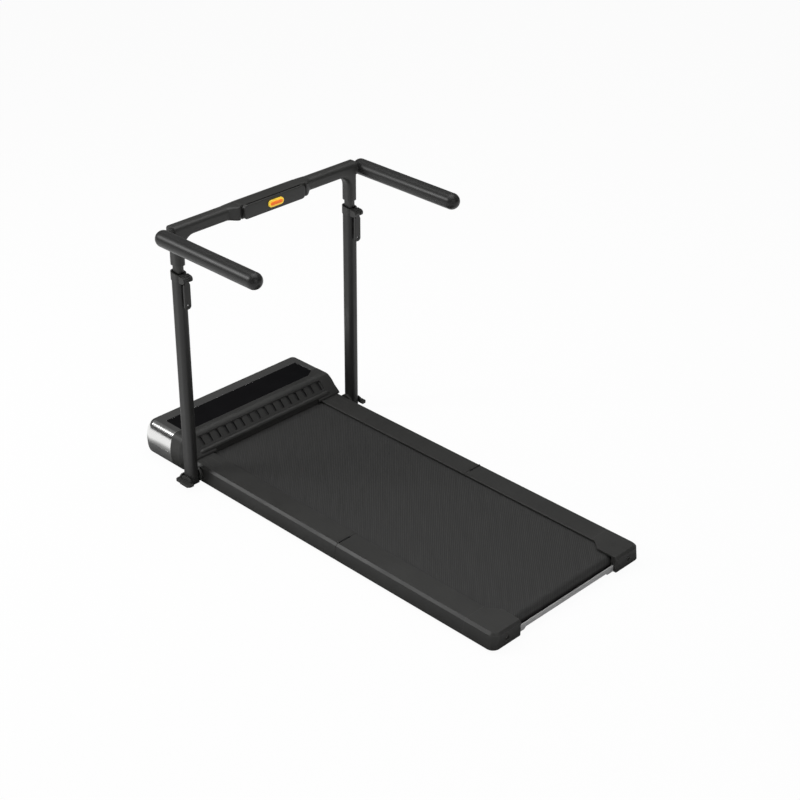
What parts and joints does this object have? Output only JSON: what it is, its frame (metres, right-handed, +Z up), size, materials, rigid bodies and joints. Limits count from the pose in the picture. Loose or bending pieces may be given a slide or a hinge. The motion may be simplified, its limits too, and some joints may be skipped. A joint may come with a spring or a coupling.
{
  "type": "walking pad",
  "caption": "Low folding walking pad with a belt between side rails, a motor hood in front and a folding, height-adjustable handrail with padded arms.",
  "frame": {"origin": "on the floor, under the middle of the overall length and width", "axes": "+Z up, +Y forward in the walking direction to the motor hood, +X to the walker's right"},
  "size_m": [0.7756, 1.396, 0.821],
  "materials": {
    "charcoal_plastic": "fine matte moulding",
    "charcoal_paint": "satin powder coat",
    "gloss_black": "polished moulding",
    "silver_gloss": "metallic gloss coat",
    "display_black": "smooth black panel",
    "belt_rubber": "fine lengthwise grain",
    "foot_rubber": "plain",
    "arm_foam": "smooth grip sleeve",
    "board_wood": "fibreboard with a waxed face",
    "steel": "plain turned steel",
    "grey_metal": "satin grey paint",
    "bright_metal": "plain casting",
    "bush_plastic": "plain guide plastic",
    "key_yellow": "smooth",
    "key_orange": "smooth",
    "chrome_tube": "satin powder coat"
  },
  "bodies": {
    "deck_front": {"rail_front_left": "charcoal_plastic", "rail_front_right": "charcoal_plastic", "rail_inserts": "charcoal_plastic", "frame_front": "charcoal_paint", "running_board_front": "board_wood", "belt_front": "belt_rubber", "pan_front": "charcoal_plastic", "feet_front": "foot_rubber", "hinge_leaves_front": "charcoal_paint", "hinge_pins": "steel", "motor_hood": "charcoal_plastic", "vent_grille": "charcoal_plastic", "nose_trim": "silver_gloss", "housing_base": "silver_gloss", "display_panel": "display_black", "motor_body": "charcoal_paint", "motor_bracket": "charcoal_paint", "controller_box": "bright_metal", "drive_belt": "foot_rubber", "power_inlet": "gloss_black", "switch_frame": "gloss_black", "front_bearings": "charcoal_paint", "foot_bracket_left": "charcoal_plastic", "foot_bracket_right": "charcoal_plastic", "fold_pins": "steel"},
    "deck_rear": {"rail_rear_left": "charcoal_plastic", "rail_rear_right": "charcoal_plastic", "rear_cap_left": "charcoal_plastic", "rear_cap_right": "charcoal_plastic", "frame_rear": "charcoal_paint", "running_board_rear": "board_wood", "belt_rear": "belt_rubber", "pan_rear": "charcoal_plastic", "feet_rear": "foot_rubber", "hinge_leaves_rear": "charcoal_paint", "rear_crossbar": "grey_metal", "rear_bearings": "charcoal_paint", "tension_bolts": "steel"},
    "front_roller": {"front_roller": "steel"},
    "rear_roller": {"rear_roller": "steel"},
    "motor_rotor": {"motor_rotor": "steel"},
    "handrail_lower": {"post_left": "charcoal_paint", "post_right": "charcoal_paint", "collar_left": "charcoal_plastic", "collar_right": "charcoal_plastic", "slide_bushes": "bush_plastic"},
    "handrail_upper": {"crossbar": "charcoal_plastic", "inner_tube_left": "chrome_tube", "inner_tube_right": "chrome_tube", "console": "charcoal_plastic", "arm_pivots": "charcoal_plastic"},
    "arm_left": {"arm_left": "arm_foam"},
    "arm_right": {"arm_right": "arm_foam"},
    "lever_left": {"lever_left": "charcoal_plastic"},
    "lever_right": {"lever_right": "charcoal_plastic"},
    "safety_key": {"safety_key": "key_yellow", "safety_key_grip": "key_orange"},
    "wheel_left": {"wheel_left": "foot_rubber"},
    "wheel_right": {"wheel_right": "foot_rubber"},
    "power_switch": {"power_switch": "gloss_black"}
  },
  "joints": [
    {"name": "deck_fold", "type": "hinge", "parent": "deck_front", "child": "deck_rear", "pos_m": [0, -0.122, 0.0545], "axis": [-1, 0, 0], "range_deg": [0, 180]},
    {"name": "handrail_fold", "type": "hinge", "parent": "deck_front", "child": "handrail_lower", "pos_m": [0, 0.451, 0.028], "axis": [1, 0, 0], "range_deg": [0, 82]},
    {"name": "handrail_height", "type": "slide", "parent": "handrail_lower", "child": "handrail_upper", "axis": [0, 0, 1], "range_m": [-0.018, 0.12]},
    {"name": "left_arm_fold", "type": "hinge", "parent": "handrail_upper", "child": "arm_left", "pos_m": [-0.364, 0.451, 0.79], "axis": [1, 0, 0], "range_deg": [0, 90]},
    {"name": "right_arm_fold", "type": "hinge", "parent": "handrail_upper", "child": "arm_right", "pos_m": [0.364, 0.451, 0.79], "axis": [1, 0, 0], "range_deg": [0, 90]},
    {"name": "left_lever", "type": "hinge", "parent": "handrail_lower", "child": "lever_left", "pos_m": [-0.32, 0.419, 0.665], "axis": [-1, 0, 0], "range_deg": [0, 120]},
    {"name": "right_lever", "type": "hinge", "parent": "handrail_lower", "child": "lever_right", "pos_m": [0.32, 0.419, 0.665], "axis": [-1, 0, 0], "range_deg": [0, 120]},
    {"name": "safety_key_pull", "type": "slide", "parent": "handrail_upper", "child": "safety_key", "axis": [0, -1, 0], "range_m": [0, 0.02]},
    {"name": "front_roller_spin", "type": "hinge", "parent": "deck_front", "child": "front_roller", "pos_m": [0, 0.518, 0.0272], "axis": [1, 0, 0], "continuous": true},
    {"name": "rear_roller_spin", "type": "hinge", "parent": "deck_rear", "child": "rear_roller", "pos_m": [0, -0.657, 0.0272], "axis": [1, 0, 0], "continuous": true},
    {"name": "motor_spin", "type": "hinge", "parent": "deck_front", "child": "motor_rotor", "pos_m": [0, 0.613, 0.05], "axis": [1, 0, 0], "continuous": true},
    {"name": "left_wheel_spin", "type": "hinge", "parent": "deck_front", "child": "wheel_left", "pos_m": [-0.215, 0.664, 0.0165], "axis": [1, 0, 0], "continuous": true},
    {"name": "right_wheel_spin", "type": "hinge", "parent": "deck_front", "child": "wheel_right", "pos_m": [0.215, 0.664, 0.0165], "axis": [1, 0, 0], "continuous": true},
    {"name": "power_switch_rock", "type": "hinge", "parent": "deck_front", "child": "power_switch", "pos_m": [-0.108, 0.69, 0.036], "axis": [-1, 0, 0], "range_deg": [0, 14]}
  ],
  "couplings": [
    {"joint": "rear_roller_spin", "follows": "front_roller_spin", "ratio": 1},
    {"joint": "motor_spin", "follows": "front_roller_spin", "ratio": 1.6667}
  ]
}
